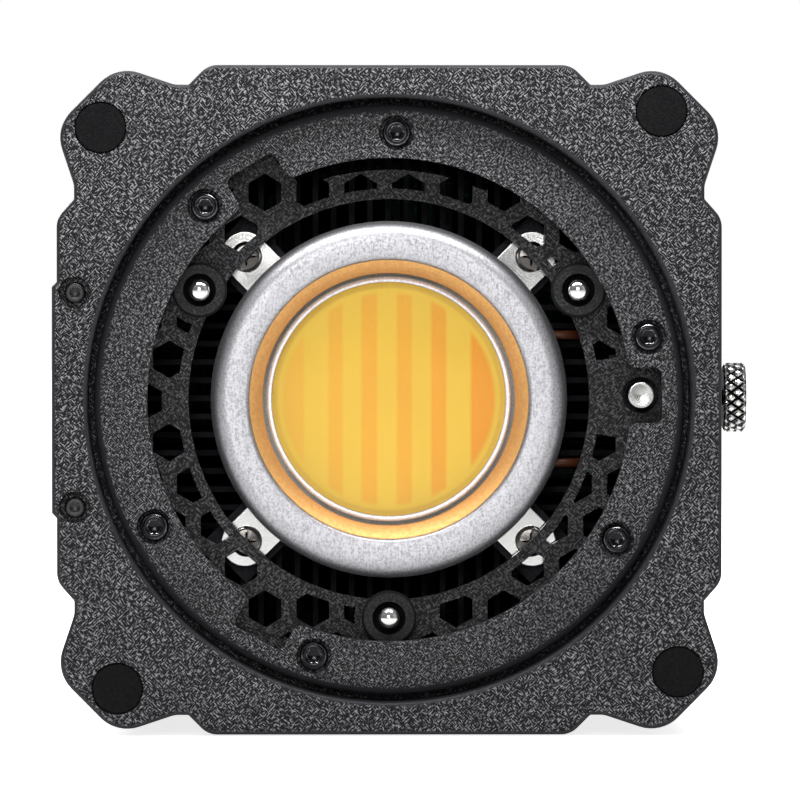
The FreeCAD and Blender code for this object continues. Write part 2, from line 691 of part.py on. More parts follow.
def usb_socket():
    x, z = USB_PLACE
    shell = prism(rectangle(4.5, 1.6, 1.5, x, z), 102.0, 111.9)
    hollow = prism(rectangle(4.15, 1.25, 1.2, x, z), 103.0, 113.0)
    tongue = block(x - 3.3, x + 3.3, 103.0, 109.5, z - 0.35, z + 0.35)
    return fuse([shell.cut(hollow), tongue])


# ---- housing ----------------------------------------------------------------
def vent_rows(first, last, pitch):
    count = int((last - first) / pitch)
    return [first + k * pitch for k in range(count + 1)]


def shell_tube():
    """Square tube with corner channels, mounting windows and cooling slots."""
    outer = body_prism(SHELL_INSET, BEZEL_REAR, COVER_FRONT)
    tube_wall = outer.cut(body_prism(SHELL_INSET + WALL, BEZEL_REAR - 1, COVER_FRONT + 1))
    channels = [rod(3.5, BEZEL_REAR, COVER_FRONT, x, z) for x, z in CORNER_SCREWS]
    pad = block(-21, 21, 27, 73, -HALF_HEIGHT + 1, -38.0)
    body = fuse([tube_wall, pad] + channels)
    cuts = [rod(1.25 + EASE, 5, 100, x, z) for x, z in CORNER_SCREWS]
    cuts.append(block(-50, -40, 9, 80.05, -15.85, 15.85))
    cuts.append(block(-19.05, 19.05, 29.95, 70.05, -50, -40.0))
    cuts.append(Part.makeCylinder(5.6, 10, V(0, TRIPOD_Y, -45)))
    cuts += [Part.makeCylinder(1.25 + EASE, 12, V(x, y, -48)) for x in (-15, 15) for y in (34, 66)]
    knob_slot = V(42, KNOB_Y + LOCK_TRAVEL / 2, KNOB_Z)
    cuts.append(slot_cutter(LOCK_TRAVEL + 2.7, 2.7, 5, knob_slot, ALONG_Y, V(1, 0, 0)))
    for y in vent_rows(20, 88, 5.2):
        cuts.append(slot_cutter(40, 2.6, 5, V(0, y, 43), V(1, 0, 0), V(0, 0, 1)))
        for s in (-1, 1):
            cuts.append(slot_cutter(12, 2.6, 5, V(-42.5, y, s * 23.8 - s * 0.6), V(0, 0, 1), V(1, 0, 0)))
            if y > 26:
                cuts.append(slot_cutter(20, 2.6, 5, V(42.5, y, s * 14.0), V(0, 0, 1), V(1, 0, 0)))
    return body.cut(group(cuts))


def half_shell(body, upper):
    low, high = (0, 60) if upper else (-60, 0)
    return body.common(block(-60, 60, 0, 100, low, high))


def side_mount_plate():
    plate = block(-43.6, -41.2, BEZEL_REAR, 80, -15.8, 15.8)
    rim = [(-43.6, -15.65), (-44.65, -15.0), (-44.65, 15.0), (-43.6, 15.65)]
    points = [V(x, BEZEL_REAR, z) for x, z in rim]
    pad = Part.Face(Part.makePolygon(points + points[:1])).extrude(V(0, 70, 0))
    inner = block(-41.2, -39.2, BEZEL_REAR, 80, -15.8, 15.8)
    boss = Part.makeCylinder(5.5, 4, V(-41.4, SIDE_TAP_Y, 0), V(1, 0, 0))
    plate = fuse([plate, pad, inner, boss])
    cuts = [Part.makeCylinder(TAP_R, 20, V(-50, SIDE_TAP_Y, 0), V(1, 0, 0))]
    cuts += [rod(0.9 + EASE, 0, 20, SIDE_SCREW[0], s * SIDE_SCREW[1]) for s in (-1, 1)]
    cuts += [Part.makeCylinder(2.2, 3, V(-46.5, SIDE_TAP_Y + s * 16, 0), V(1, 0, 0)) for s in (-1, 1)]
    return plate.cut(group(cuts))


def side_plate_screws():
    x, z = SIDE_SCREW
    return group([socket_screw(1.4, 1.3, 0.9, 14, 1.2, x, s * z, 0.3) for s in (-1, 1)])


def tripod_plate():
    plate = block(-19, 19, 30, 70, -HALF_HEIGHT, -40.0)
    corners = [e for e in plate.Edges if e.BoundBox.ZLength > 1]
    plate = plate.makeFillet(2.0, corners)
    plate = plate.fuse(Part.makeCylinder(5.5, 3, V(0, TRIPOD_Y, -40.4))).removeSplitter()
    cuts = [Part.makeCylinder(TAP_R, 12, V(0, TRIPOD_Y, -46))]
    for x in (-15, 15):
        for y in (34, 66):
            cuts.append(Part.makeCylinder(1.35, 8, V(x, y, -46)))
            cuts.append(Part.makeCone(2.7, 1.35, 1.4, V(x, y, -HALF_HEIGHT)))
    cuts += [Part.makeCylinder(2.1, 3, V(0, TRIPOD_Y + s * 13, -47)) for s in (-1, 1)]
    return plate.cut(group(cuts))


def tripod_plate_screws():
    def screw(x, y):
        head = Part.makeCone(2.6, 1.25, 1.3, V(x, y, -HALF_HEIGHT + 0.05))
        shank = Part.makeCylinder(1.25, 6.2, V(x, y, -HALF_HEIGHT + 1.3))
        key = hexagon(1.5, 0, 1.0, 0, 0)
        key.rotate(V(0, 0, 0), V(1, 0, 0), 90)
        key.translate(V(x, y, -HALF_HEIGHT))
        return head.fuse(shank).cut(key)
    return group([screw(x, y) for x in (-15, 15) for y in (34, 66)])


def rear_cover():
    solid = round_front(body_prism(0, COVER_FRONT, COVER_REAR), COVER_REAR, 1.6)
    core = body_prism(WALL, COVER_FRONT - 1, COVER_REAR - PANEL)
    keep = [rod(3.9, 90, COVER_REAR, x, z) for x, z in CORNER_SCREWS]
    posts = [rod(2.4, CONTROL_Y + BOARD_THICK, 110, x, z) for x, z in control_screw_places()]
    solid = solid.cut(core.cut(group(keep + posts)))
    cuts = [prism(rectangle(WINDOW[0] / 2, WINDOW[1] / 2, 2.5, 0, DISPLAY_Z), 110.8, 113),
            prism(rectangle(24.0, 11.5, 1.0, 0, DISPLAY_Z), 105, 113)]
    for x, z in CORNER_SCREWS:
        cuts += [rod(2.5, 109.2, 113, x, z), rod(1.35, 90, 110, x, z)]
    cuts += [rod(1.0 + EASE, 100, 107.6, x, z) for x, z in control_screw_places()]
    cuts += [rod(4.3, 105, 113, x, DIAL_Z) for x in DIALS.values()]
    cuts += [rod(r + 0.3, 105, 113, x, z) for x, z, r in BUTTONS.values()]
    cuts.append(rod(5.6, 105, 113, *DC_PLACE))
    cuts.append(prism(rectangle(4.6, 1.7, 1.6, *USB_PLACE), 105, 113))
    for z in vent_rows(-18, 18, 6):
        cuts += [slot_cutter(9, 2.6, 5, V(s * 43, 101.5, z), ALONG_Y, V(1, 0, 0)) for s in (-1, 1)]
    for x in vent_rows(-18, 18, 6):
        cuts.append(slot_cutter(9, 2.6, 5, V(x, 101.5, 43), ALONG_Y, V(0, 0, 1)))
    return solid.cut(group(cuts))


def rear_cover_screws():
    return group([socket_screw(2.25, 2.4, 1.25, 24, 2.0, x, z, 111.6, way=-1) for x, z in CORNER_SCREWS])


def build_nodes():
    nodes = {
        "front_bezel": front_bezel(),
        "corner_plugs": corner_plugs(),
        "bezel_screws": bezel_screws(),
        "mount_ring": mount_ring(),
        "mount_ring_screws": mount_ring_screws(),
        "grille_plate": grille_plate(),
        "plunger_bushes": group([plunger_bush(*polar(PLUNGER_R, a)) for a in PLUNGERS.values()]),
        "plunger_caps": group([rod(2.2 - EASE, 14.0, 15.0, *polar(PLUNGER_R, a)) for a in PLUNGERS.values()]),
        "lock_pin": lock_pin(),
        "lock_carriage": lock_carriage(),
        "lock_knob": lock_knob(),
        "lock_spring": spring(LOCK_SPRING, 19.5, 27.0, LOCK_X, LOCK_Z),
        "lock_guide": lock_guide(),
        "lock_guide_screws": lock_guide_screws(),
        "lamp_ring": lamp_ring(),
        "reflector_cone": reflector_cone(),
        "glass_ring": glass_ring(),
        "cob_glass": cob_glass(),
        "cob_phosphor": rod(PHOSPHOR_R - EASE, 11.0, SUBSTRATE_FRONT),
        "cob_dam": tube(DAM_R, PHOSPHOR_R, 10.8, SUBSTRATE_FRONT),
        "cob_substrate": cob_substrate(),
        "cob_bracket": cob_bracket(),
        "cob_bracket_screws": group([phillips_screw(*polar(CLIP_SCREW_R, a)) for a in (45, 135, 225, 315)]),
        "heat_spreader": heat_spreader(),
        "heat_pipes": heat_pipes(),
        "heatsink": heatsink(),
        "led_leads": group([led_lead(1), led_lead(-1)]),
        "fan_frame": fan_frame(),
        "fan_bearing": fan_bearing(),
        "fan_stator": fan_stator(),
        "fan_rotor": fan_rotor(),
        "board_standoffs": board_standoffs(),
        "board_screws": board_screws(),
        "driver_board": driver_board(),
        "driver_components": driver_components(),
        "control_board": control_board(),
        "display_module": display_module(),
        "display_window": display_window(),
        "dial_encoders": dial_encoders(),
        "button_switches": button_switches(),
        "dc_socket": dc_socket(),
        "usb_socket": usb_socket(),
        "side_mount_plate": side_mount_plate(),
        "side_plate_screws": side_plate_screws(),
        "tripod_plate": tripod_plate(),
        "tripod_plate_screws": tripod_plate_screws(),
        "rear_cover": rear_cover(),
        "rear_cover_screws": rear_cover_screws(),
    }
    for name, angle in PLUNGERS.items():
        place = polar(PLUNGER_R, angle)
        nodes["plunger_pin_" + name] = plunger_pin(*place)
        nodes["plunger_spring_" + name] = spring(PLUNGER_SPRING, 9.3, 14.0, *place)
    for name, x in DIALS.items():
        nodes[name] = dial(x)
    for name, (x, z, radius) in BUTTONS.items():
        nodes[name] = push_button(x, z, radius)
    shell = shell_tube()
    nodes["upper_shell"] = half_shell(shell, upper=True)
    nodes["lower_shell"] = half_shell(shell, upper=False)
    return nodes


os.makedirs("parts", exist_ok=True)
for node_name, node_shape in build_nodes().items():
    node_shape.exportStep("parts/" + node_name + ".step")
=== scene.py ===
import json
import math

import bmesh
import bpy
from mathutils import Matrix, Vector


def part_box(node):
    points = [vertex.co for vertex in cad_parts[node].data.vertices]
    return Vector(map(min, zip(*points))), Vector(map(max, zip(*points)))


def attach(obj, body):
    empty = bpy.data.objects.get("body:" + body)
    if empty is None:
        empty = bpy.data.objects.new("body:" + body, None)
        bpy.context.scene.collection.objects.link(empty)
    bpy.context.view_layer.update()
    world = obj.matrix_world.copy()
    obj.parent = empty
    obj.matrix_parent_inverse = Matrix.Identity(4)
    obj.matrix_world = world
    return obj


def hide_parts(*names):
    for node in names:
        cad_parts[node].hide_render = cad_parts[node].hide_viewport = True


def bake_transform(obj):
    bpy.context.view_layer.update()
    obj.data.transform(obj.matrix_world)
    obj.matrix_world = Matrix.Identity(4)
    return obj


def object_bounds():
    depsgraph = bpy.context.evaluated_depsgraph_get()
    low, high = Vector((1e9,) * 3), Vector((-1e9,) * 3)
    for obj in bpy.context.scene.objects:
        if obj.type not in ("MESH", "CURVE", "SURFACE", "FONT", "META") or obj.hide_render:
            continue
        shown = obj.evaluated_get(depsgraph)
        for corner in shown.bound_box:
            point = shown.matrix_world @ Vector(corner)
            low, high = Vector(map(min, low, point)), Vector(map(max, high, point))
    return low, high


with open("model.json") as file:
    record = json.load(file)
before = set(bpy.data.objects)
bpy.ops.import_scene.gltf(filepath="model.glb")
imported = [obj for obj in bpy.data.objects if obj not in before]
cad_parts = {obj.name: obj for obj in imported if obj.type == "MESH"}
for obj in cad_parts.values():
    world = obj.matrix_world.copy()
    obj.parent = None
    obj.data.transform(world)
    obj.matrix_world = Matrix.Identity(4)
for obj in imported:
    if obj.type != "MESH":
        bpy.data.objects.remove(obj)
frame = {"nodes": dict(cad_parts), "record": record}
cad_low, cad_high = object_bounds()
nodes = frame["nodes"]
scene = bpy.context.scene

MM = 0.001

# ---- sizes read from the frame ----------------------------------------------


def middle_of(node):
    low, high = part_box(node)
    return (low + high) / 2


def radius_of(node):
    """Half the width of a node that is round about the Y axis."""
    low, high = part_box(node)
    return (high.x - low.x) / 2


knob_low, knob_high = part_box("lock_knob")
KNOB_R = (knob_high.z - knob_low.z) / 2
RECESS_R = radius_of("mount_ring") + 1.0 * MM

# ---- building a material ----------------------------------------------------


class Surface:
    """One procedural material built on a Principled shader."""

    def __init__(self, name, colour, roughness, metallic=0.0):
        self.material = bpy.data.materials.new(name)
        self.material.use_nodes = True
        self.tree = self.material.node_tree
        self.shader = self.tree.nodes["Principled BSDF"]
        self.place = self.add("ShaderNodeTexCoord").outputs["Object"]
        self.set("Base Color", (*colour, 1.0))
        self.set("Roughness", roughness)
        self.set("Metallic", metallic)

    def set(self, socket, value):
        self.shader.inputs[socket].default_value = value

    def feed(self, socket, output):
        self.tree.links.new(output, self.shader.inputs[socket])

    def add(self, kind, links=None, values=None, **settings):
        node = self.tree.nodes.new(kind)
        for key, value in settings.items():
            setattr(node, key, value)
        for key, value in (values or {}).items():
            node.inputs[key].default_value = value
        for key, output in (links or {}).items():
            self.tree.links.new(output, node.inputs[key])
        return node

    def math(self, operation, a, b=None):
        node = self.add("ShaderNodeMath", operation=operation)
        for index, value in enumerate((a, b)):
            if value is None:
                continue
            if isinstance(value, (int, float)):
                node.inputs[index].default_value = value
            else:
                self.tree.links.new(value, node.inputs[index])
        return node.outputs[0]

    def spread(self, value, low, high, to_low=0.0, to_high=1.0):
        """Maps low..high to to_low..to_high and holds the ends."""
        node = self.add("ShaderNodeMapRange", {"Value": value},
                        {"From Min": low, "From Max": high, "To Min": to_low, "To Max": to_high})
        return node.outputs[0]

    def blend(self, factor, first, second):
        node = self.add("ShaderNodeMix", {0: factor}, {6: (*first, 1.0), 7: (*second, 1.0)}, data_type="RGBA")
        return node.outputs[2]

    def blend_over(self, factor, first_output, second):
        node = self.add("ShaderNodeMix", {0: factor, 6: first_output}, {7: (*second, 1.0)}, data_type="RGBA")
        return node.outputs[2]

    def turned(self, degrees):
        """Place on the piece after a turn about Y."""
        return self.add("ShaderNodeMapping", {"Vector": self.place},
                        {"Rotation": (0, math.radians(degrees), 0)}).outputs[0]

    def noise(self, sizes, turn=0.0, detail=2.0, rough=0.5):
        """Noise whose grains are about sizes (mm along X, Y, Z) after a turn about Y."""
        scaled = self.add("ShaderNodeMapping", {"Vector": self.turned(turn)},
                          {"Scale": tuple(1 / (size * MM) for size in sizes)})
        grain = self.add("ShaderNodeTexNoise", {"Vector": scaled.outputs[0]},
                         {"Scale": 1.0, "Detail": detail, "Roughness": rough})
        return grain.outputs["Fac"]

    def even_noise(self, size, detail=2.0, rough=0.5):
        """Noise with round grains of about size mm."""
        return self.noise((size, size, size), detail=detail, rough=rough)

    def along(self, vector, axis):
        return self.add("ShaderNodeSeparateXYZ", {"Vector": vector}).outputs[axis]

    def distance(self, a, b):
        """Length of two steps at right angles."""
        return self.math("SQRT", self.math("ADD", self.math("POWER", a, 2.0), self.math("POWER", b, 2.0)))

    def reach(self):
        """Distance from the Y axis through the piece's origin."""
        return self.distance(self.along(self.place, "X"), self.along(self.place, "Z"))

    def facing(self, axis):
        """How squarely the surface faces either way along an axis: 1 there, 0 at right angles to it."""
        normal = self.add("ShaderNodeTexCoord").outputs["Normal"]
        return self.math("ABSOLUTE", self.along(normal, axis))

    def flatness(self, deepest=None):
        """1 on front and back faces and on outer sides, 0 on rounded edges and inside the recess.

        deepest, in mm behind the front, is where a face stops counting.
        """
        squarely = self.facing("Y")
        front = self.spread(squarely, 0.93, 0.995)
        if deepest:
            depth = self.along(self.place, "Y")
            front = self.math("MULTIPLY", front, self.spread(depth, deepest * MM, (deepest - 0.2) * MM))
        outside = self.spread(self.reach(), RECESS_R, RECESS_R + 0.3 * MM)
        side = self.math("MULTIPLY", self.spread(squarely, 0.2, 0.08), outside)
        return self.math("MAXIMUM", front, side)

    def relief(self, height, depth_mm, edge_mm=0.0):
        """Bump of a height map, over edges that look rounded by edge_mm."""
        links = {"Height": height}
        if edge_mm:
            soft = self.add("ShaderNodeBevel", values={"Radius": edge_mm * MM}, samples=4)
            links["Normal"] = soft.outputs[0]
        bump = self.add("ShaderNodeBump", links, {"Strength": 1.0, "Distance": depth_mm * MM})
        self.feed("Normal", bump.outputs[0])


def scaled(colour, factor, lift=0.0):
    return tuple(factor * channel + lift for channel in colour)


# ---- kinds of material ------------------------------------------------------


def dashes(s, size, turn):
    """Short dashes in loose rows, at an angle about Y."""
    long, short = size
    row_pitch = 1.6 * short * MM
    row_strength = 0.04
    across = s.along(s.turned(turn), "Z")
    rows = s.math("SINE", s.math("MULTIPLY", across, 2 * math.pi / row_pitch))
    return s.math("ADD", s.noise((long, short, short), turn, 1.0), s.math("MULTIPLY", rows, row_strength))


def moulded_grain(name, colour, fleck_and_glint, size, depth, roughness=0.5, edge=0.25, shine=0.15, edge_tone=7,
                  edge_roughness=0.3, deepest=None):
    """Black moulding covered in short dashes that lie along both diagonals.

    The dashes' colour, given after colour, is their own tone and a painted highlight on the grain's ridges;
    size is their length and width, and edge_tone how much paler the edges and the walls inside the recess
    are, a painted sheen as well as wear.
    """
    s = Surface(name, colour, roughness)
    s.set("Specular IOR Level", shine)
    patch_size = 5 * size[1]
    patch = s.spread(s.even_noise(patch_size, detail=0.0), 0.46, 0.54)
    weave = s.add("ShaderNodeMix", {0: patch, 2: dashes(s, size, 45), 3: dashes(s, size, -45)},
                  data_type="FLOAT").outputs[0]
    flat = s.flatness(deepest)
    ridge = s.math("MULTIPLY", s.spread(weave, 0.5, 0.66), flat)
    cloud = s.spread(s.even_noise(11), 0.3, 0.7, 0.75, 1.0)
    # edges and the walls inside the recess are painted paler by edge_tone: a painted sheen as well as wear
    edges_paled_and_sheen = s.blend(flat, scaled(colour, edge_tone), colour)
    # the dashes' pale colour is their own tone and a painted highlight on the grain's ridges
    s.feed("Base Color", s.blend_over(s.math("MULTIPLY", ridge, cloud), edges_paled_and_sheen, fleck_and_glint))
    s.feed("Roughness", s.spread(flat, 0.0, 1.0, edge_roughness, roughness))
    s.relief(ridge, depth, edge)
    return s.material


def smooth_plastic(name, colour, roughness, grain=0.25, depth=0.012, edge=0.2, shine=0.3):
    """Plain moulding with a fine, shallow texture and slow changes in gloss."""
    s = Surface(name, colour, roughness)
    s.set("Specular IOR Level", shine)
    fine = s.even_noise(grain)
    cloud = s.even_noise(9)
    s.feed("Roughness", s.spread(cloud, 0.3, 0.7, roughness - 0.05, roughness + 0.06))
    s.feed("Base Color", s.blend(s.spread(fine, 0.35, 0.7), colour, scaled(colour, 1.35, 0.004)))
    s.relief(fine, depth, edge)
    return s.material


def brushed_metal(name, colour, roughness, sizes=(0.08, 2.5, 0.08), depth=0.004, edge=0.15):
    """Metal with fine drawn or turned scratches, long in the direction of the largest size."""
    s = Surface(name, colour, roughness, metallic=1.0)
    scratch = s.noise(sizes, detail=3.0)
    smear = s.even_noise(6)
    s.feed("Roughness", s.spread(s.math("ADD", scratch, smear), 0.7, 1.3, roughness * 0.75, roughness * 1.3))
    s.feed("Base Color", s.blend(s.spread(smear, 0.35, 0.7), scaled(colour, 0.86), colour))
    s.relief(scratch, depth, edge)
    return s.material


def worn_and_highlit_metal(name, colour, worn_and_highlit, roughness):
    """Blackened metal whose rounded rims are paler all round: wear and a painted highlight."""
    s = Surface(name, colour, roughness, metallic=1.0)
    squarely = s.facing("Y")
    rim = s.math("MULTIPLY", s.spread(squarely, 0.4, 0.6), s.spread(squarely, 0.9, 0.75))
    rim_wear_and_highlight = s.math("MULTIPLY", rim, s.spread(s.even_noise(0.5), 0.35, 0.55, 0.35, 1.0))
    scuff = s.even_noise(0.12, detail=3.0)
    # the rim's pale colour is wear and a painted highlight as well
    s.feed("Base Color", s.blend(rim_wear_and_highlight, colour, worn_and_highlit))
    s.feed("Roughness", s.spread(scuff, 0.3, 0.7, roughness - 0.06, roughness + 0.08))
    s.relief(scuff, 0.003)
    return s.material


def blasted_metal(name, colour, dark, roughness, grain, depth):
    """Bead-blasted aluminium: a dense pattern of tiny pits."""
    s = Surface(name, colour, roughness, metallic=1.0)
    pits = s.even_noise(grain, detail=3.0, rough=0.6)
    streak = s.noise((grain * 0.7, grain, grain * 3.0))
    mixed = s.math("ADD", s.math("MULTIPLY", pits, 0.65), s.math("MULTIPLY", streak, 0.35))
    s.feed("Base Color", s.blend(s.spread(mixed, 0.36, 0.56), dark, colour))
    s.feed("Roughness", s.spread(pits, 0.3, 0.7, roughness + 0.12, roughness - 0.06))
    s.relief(mixed, depth, 0.15)
    return s.material


def turned_metal(name, colour, roughness, groove):
    """Metal faced on a lathe: fine rings round the piece's own axis, with a bow-tie highlight."""
    s = Surface(name, colour, roughness, metallic=1.0)
    rings = s.math("SINE", s.math("MULTIPLY", s.reach(), 2 * math.pi / (groove * MM)))
    smear = s.even_noise(1.0)
    s.feed("Roughness", s.spread(s.math("ADD", rings, smear), -0.5, 1.5, roughness * 0.8, roughness * 1.2))
    s.set("Anisotropic", 0.95)
    s.feed("Tangent", s.add("ShaderNodeTangent", direction_type="RADIAL", axis="Y").outputs[0])
    s.relief(rings, 0.0012)
    return s.material


def knurled_metal(name, colour, dark, roughness):
    """Bright metal that is near black in the valleys of its knurl, measured from the knob's axis."""
    s = Surface(name, colour, roughness, metallic=1.0)
    middle = (knob_low + knob_high) / 2
    reach = s.distance(s.math("SUBTRACT", s.along(s.place, "Y"), middle.y),
                       s.math("SUBTRACT", s.along(s.place, "Z"), middle.z))
    scuff = s.even_noise(0.3, detail=3.0)
    uneven = s.math("ADD", reach, s.math("MULTIPLY", scuff, 0.05 * MM))
    proud = s.math("MAXIMUM", s.spread(uneven, KNOB_R - 0.3 * MM, KNOB_R - 0.12 * MM),
                   s.spread(s.facing("X"), 0.8, 0.95))
    s.feed("Base Color", s.blend(proud, dark, colour))
    s.feed("Roughness", s.spread(proud, 0.0, 1.0, 0.6, roughness))
    s.relief(scuff, 0.006)
    return s.material


def phosphor_stripes(name):
    """Yellow phosphor with warm stripes over its warm chips, a painted shadow where it meets its dam, and a
    faint painted glow.
    """
    yellow = (0.92, 0.6, 0.075)
    warm = (0.95, 0.38, 0.035)
    shade = (0.62, 0.38, 0.07)
    pale = (1.0, 0.72, 0.2)
    stripes = [(-12.8, 2.9, 0.35), (-7.1, 1.9, 0.45), (-2.6, 2.1, 0.55), (2.1, 2.0, 0.55), (6.7, 2.0, 0.75),
               (12.7, 3.4, 1.0)]      # middle and width in mm, strength
    blur = 0.22                       # half the width of a stripe's soft edge, in mm

    s = Surface(name, yellow, 0.35)
    across = s.along(s.place, "X")
    total = None
    for middle, width, strength in stripes:
        away = s.math("ABSOLUTE", s.math("SUBTRACT", across, middle * MM))
        band = s.spread(away, (width / 2 + blur) * MM, (width / 2 - blur) * MM, 0.0, strength)
        total = band if total is None else s.math("MAXIMUM", total, band)
    reach = s.reach()
    inside = s.spread(reach, 14.5 * MM, 13.9 * MM)
    striped = s.blend(s.math("MULTIPLY", total, inside), yellow, warm)
    # painted shadow of the dam along the phosphor's rim
    rim = s.spread(reach, 14.75 * MM, 15.0 * MM)
    shaded = s.blend_over(s.math("MULTIPLY", rim, 0.35), striped, shade)
    mottle = s.even_noise(0.5)
    tinted = s.blend_over(s.spread(mottle, 0.45, 0.8, 0.0, 0.12), shaded, pale)
    s.feed("Base Color", tinted)
    # painted glow: the phosphor gives off light in its own colour though it is no lamp
    s.feed("Emission Color", tinted)
    s.set("Emission Strength", 0.22)
    s.set("Specular IOR Level", 0.15)
    s.relief(mottle, 0.01)
    return s.material


def clear_pane(name, tint, gloss=0.03):
    """Thin flat glass: it lets light straight through and adds a reflection that grows towards its edge."""
    s = Surface(name, tint, gloss)
    out = s.tree.nodes["Material Output"]
    through = s.add("ShaderNodeBsdfTransparent", values={"Color": (*tint, 1.0)})
    shine = s.add("ShaderNodeBsdfGlossy", values={"Roughness": gloss, "Color": (1, 1, 1, 1)})
    rim = s.add("ShaderNodeFresnel", values={"IOR": 1.45})
    smear = s.math("MULTIPLY", rim.outputs[0], s.spread(s.even_noise(8), 0.2, 0.8, 0.75, 1.0))
    mixed = s.add("ShaderNodeMixShader", {0: smear, 1: through.outputs[0], 2: shine.outputs[0]})
    s.tree.links.new(mixed.outputs[0], out.inputs["Surface"])
    s.tree.nodes.remove(s.shader)
    return s.material


def circuit_board(name):
    """Green solder mask with traces and pads that show through."""
    mask = (0.008, 0.06, 0.025)
    over_copper = (0.05, 0.2, 0.08)
    s = Surface(name, mask, 0.3)
    traces = s.add("ShaderNodeTexBrick", {"Vector": s.place},
                   {"Scale": 260.0, "Mortar Size": 0.03, "Color1": (0, 0, 0, 1), "Color2": (0.2, 0.2, 0.2, 1),
                    "Mortar": (1, 1, 1, 1)}).outputs["Fac"]
    speck = s.spread(s.even_noise(1.2, detail=1.0), 0.66, 0.7)
    s.feed("Base Color", s.blend(s.math("MAXIMUM", traces, speck), mask, over_copper))
    s.relief(traces, 0.03)
    return s.material


# ---- the materials ----------------------------------------------------------

BLACK = (0.0035, 0.0035, 0.004)

MATERIALS = {
    "bezel": moulded_grain("bezel_grain", BLACK, (0.28, 0.277, 0.292), (0.6, 0.2), 0.07),
    "shell": moulded_grain("shell_grain", BLACK, (0.2, 0.198, 0.208), (0.6, 0.2), 0.06),
    "ring": moulded_grain("ring_grain", BLACK, (0.25, 0.247, 0.26), (0.5, 0.16), 0.05, 0.46),
    "grille": moulded_grain("grille_grain", BLACK, (0.09, 0.089, 0.093), (0.5, 0.16), 0.04, 0.55, 0.12),
    "bush": moulded_grain("bush_grain", (0.002, 0.002, 0.0022), (0.03, 0.03, 0.031), (0.4, 0.16), 0.03, 0.6,
                          0.12, shine=0.25, edge_tone=1, edge_roughness=0.95, deepest=6.0),
    "rubber": smooth_plastic("plug_rubber", (0.0045, 0.0045, 0.005), 0.9, 0.2, 0.008, 0.15, shine=0.06),
    "dark_screw": worn_and_highlit_metal("black_oxide", (0.018, 0.018, 0.02), (0.75, 0.75, 0.77), 0.16),
    "strip_screw": brushed_metal("dull_oxide", (0.045, 0.045, 0.046), 0.35, (0.1, 0.1, 0.1), 0.002, 0.0),
    "bracket_screw": worn_and_highlit_metal("plated_screw", (0.1, 0.094, 0.088), (0.7, 0.68, 0.65), 0.2),
    "steel": brushed_metal("turned_steel", (0.72, 0.72, 0.73), 0.2, (0.1, 0.1, 0.1)),
    "pin": turned_metal("lathe_faced_steel", (0.5, 0.495, 0.48), 0.12, 0.14),
    "knurl": knurled_metal("knurled_steel", (0.8, 0.79, 0.77), (0.004, 0.004, 0.004), 0.22),
    "spring_steel": brushed_metal("spring_wire", (0.5, 0.5, 0.52), 0.28, (0.1, 0.1, 0.1)),
    "nickel": brushed_metal("nickel_plate", (0.86, 0.85, 0.83), 0.12, (0.15, 0.15, 0.15), 0.0015),
    "silver": blasted_metal("blasted_aluminium", (0.47, 0.465, 0.484), (0.29, 0.288, 0.305), 0.42, 0.3, 0.03),
    # the reflector's amber colour is a painted reflection of the yellow phosphor
    "reflector": blasted_metal("reflector_painted_amber", (0.79, 0.46, 0.172), (0.73, 0.41, 0.15), 0.58, 0.5, 0.001),
    "phosphor": phosphor_stripes("phosphor_stripes"),
    "glass": clear_pane("lamp_glass", (0.97, 0.98, 0.98)),
    "window": clear_pane("smoked_window", (0.16, 0.17, 0.18), 0.05),
    "dam": smooth_plastic("white_silicone", (0.72, 0.7, 0.74), 0.4, 0.4, 0.01),
    "ceramic": smooth_plastic("white_ceramic", (0.7, 0.69, 0.66), 0.5, 0.3, 0.01),
    "copper": brushed_metal("copper_pipe", (0.85, 0.42, 0.26), 0.25),
    "aluminium": brushed_metal("dark_fins", (0.008, 0.008, 0.009), 0.5, (0.12, 3.0, 0.12), 0.01),
    "spreader": blasted_metal("black_anodised", (0.014, 0.014, 0.016), (0.008, 0.008, 0.009), 0.45, 0.3,
                              0.01),
    "lead": smooth_plastic("orange_wire", (0.06, 0.016, 0.005), 0.4, 0.3, 0.005),
    "fan": smooth_plastic("fan_black", (0.008, 0.008, 0.009), 0.4, 0.5, 0.01),
    "winding": brushed_metal("enamelled_copper", (0.6, 0.27, 0.1), 0.3, (0.3, 0.3, 0.3), 0.05),
    "brass": brushed_metal("turned_brass", (0.8, 0.6, 0.28), 0.25, (0.1, 0.1, 0.1)),
    "board": circuit_board("solder_mask"),
    "component": smooth_plastic("component_body", (0.03, 0.03, 0.032), 0.45),
    "display": smooth_plastic("display_glass", (0.003, 0.004, 0.006), 0.3, 2.0, 0.0002, 0.0, shine=0.1),
    "dial": smooth_plastic("dial_plastic", (0.01, 0.01, 0.011), 0.42, 0.2, 0.02),
    "button": smooth_plastic("button_plastic", (0.045, 0.045, 0.048), 0.4, 0.2, 0.02),
    "socket": brushed_metal("socket_nickel", (0.07, 0.07, 0.073), 0.34, (0.2, 0.2, 0.2)),
    "plate": blasted_metal("anodised_plate", (0.045, 0.045, 0.048), (0.025, 0.025, 0.027), 0.42, 0.25, 0.012),
}


def paint(obj, look):
    obj.data.materials.clear()
    obj.data.materials.append(MATERIALS[look])


def paint_frame():
    """Every CAD node gets the material of its own slot; the bushes are plainer than the guard."""
    for part in frame["record"]["subparts"]:
        paint(nodes[part["node"]], part["material_slot"])
    paint(nodes["plunger_bushes"], "bush")


# ---- mesh helpers -----------------------------------------------------------

CENTRE = Vector((0, 0, 0))


